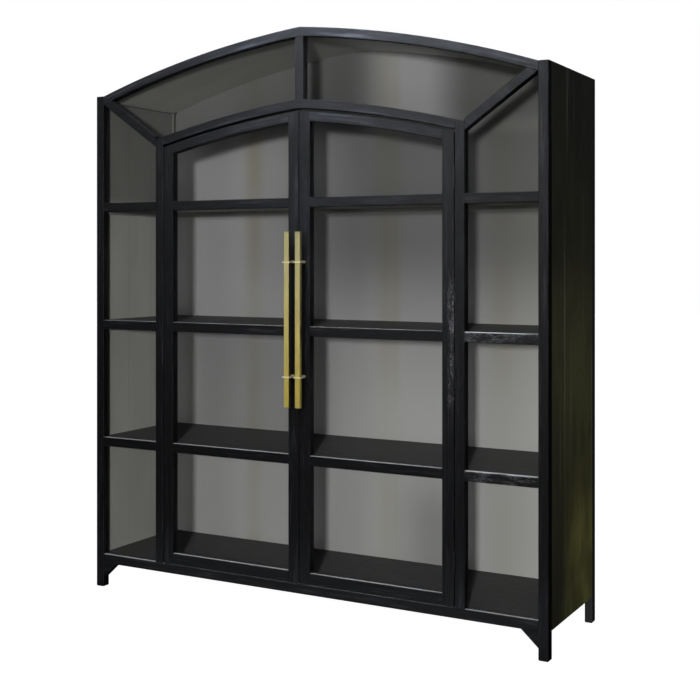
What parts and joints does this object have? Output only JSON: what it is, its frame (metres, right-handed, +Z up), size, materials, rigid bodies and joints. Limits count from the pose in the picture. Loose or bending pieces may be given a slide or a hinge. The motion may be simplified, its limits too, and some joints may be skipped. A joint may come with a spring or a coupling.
{
  "type": "arched display cabinet",
  "caption": "Wide free-standing display cabinet with an arched top, glazed bays, fan lights, shelves and a pair of hinged glazed doors with long bar pulls.",
  "frame": {"origin": "on the floor, in the middle of the width and of the overall depth, pulls included", "axes": "+X to the right along the width seen from the front, +Y from the front to the back, +Z up"},
  "size_m": [2.03, 0.599, 2.308],
  "materials": {
    "frame_wood": "black stained, brushed, satin",
    "side_wood": "black lacquered boards outside, grey inside",
    "carcass_wood": "black stained, matte",
    "shelf_paint": "black painted board, matte",
    "back_paint": "grey painted board, matte",
    "clear_glass": "clear",
    "pull_brass": "brushed satin",
    "bolt_steel": "satin",
    "black_hardware": "black, satin"
  },
  "bodies": {
    "cabinet": {"back_panel": "back_paint", "base_bearers": "carcass_wood", "bay_glass": "clear_glass", "bay_rails": "frame_wood", "bottom_board": "shelf_paint", "centre_mullion": "frame_wood", "diagonal_left": "frame_wood", "diagonal_right": "frame_wood", "door_stop": "carcass_wood", "fan_glass": "clear_glass", "fixed_glazing_beads": "frame_wood", "front_bottom_rail": "frame_wood", "front_post_left": "frame_wood", "front_post_right": "frame_wood", "gussets": "frame_wood", "hinge_frame_leaves": "black_hardware", "hinge_pins": "black_hardware", "inner_arch_left": "frame_wood", "inner_arch_right": "frame_wood", "inner_post_left": "frame_wood", "inner_post_right": "frame_wood", "lower_shelf": "shelf_paint", "magnetic_catches": "black_hardware", "middle_shelf": "shelf_paint", "outer_arch_left": "frame_wood", "outer_arch_right": "frame_wood", "rear_arch": "carcass_wood", "rear_post_left": "carcass_wood", "rear_post_right": "carcass_wood", "rear_rails": "carcass_wood", "roof_panel_left": "carcass_wood", "roof_panel_right": "carcass_wood", "shelf_cleats": "carcass_wood", "side_boards_left": "side_wood", "side_boards_right": "side_wood", "upper_shelf": "shelf_paint"},
    "left_door": {"left_door_beads": "frame_wood", "left_door_bottom_rail": "frame_wood", "left_door_cross_rails": "frame_wood", "left_door_glass": "clear_glass", "left_door_hinge_leaves": "black_hardware", "left_door_hinge_stile": "frame_wood", "left_door_meeting_stile": "frame_wood", "left_door_top_rail": "frame_wood", "left_pull_bar": "pull_brass", "left_pull_bolts": "bolt_steel", "left_pull_standoffs": "pull_brass", "left_strike_plate": "black_hardware"},
    "right_door": {"right_door_beads": "frame_wood", "right_door_bottom_rail": "frame_wood", "right_door_cross_rails": "frame_wood", "right_door_glass": "clear_glass", "right_door_hinge_leaves": "black_hardware", "right_door_hinge_stile": "frame_wood", "right_door_meeting_stile": "frame_wood", "right_door_top_rail": "frame_wood", "right_pull_bar": "pull_brass", "right_pull_bolts": "bolt_steel", "right_pull_standoffs": "pull_brass", "right_strike_plate": "black_hardware"}
  },
  "joints": [
    {"name": "left_door_hinge", "type": "hinge", "parent": "cabinet", "child": "left_door", "pos_m": [-0.6585, -0.244, 1], "axis": [0, 0, -1], "range_deg": [0, 170]},
    {"name": "right_door_hinge", "type": "hinge", "parent": "cabinet", "child": "right_door", "pos_m": [0.6585, -0.244, 1], "axis": [0, 0, 1], "range_deg": [0, 170]}
  ]
}
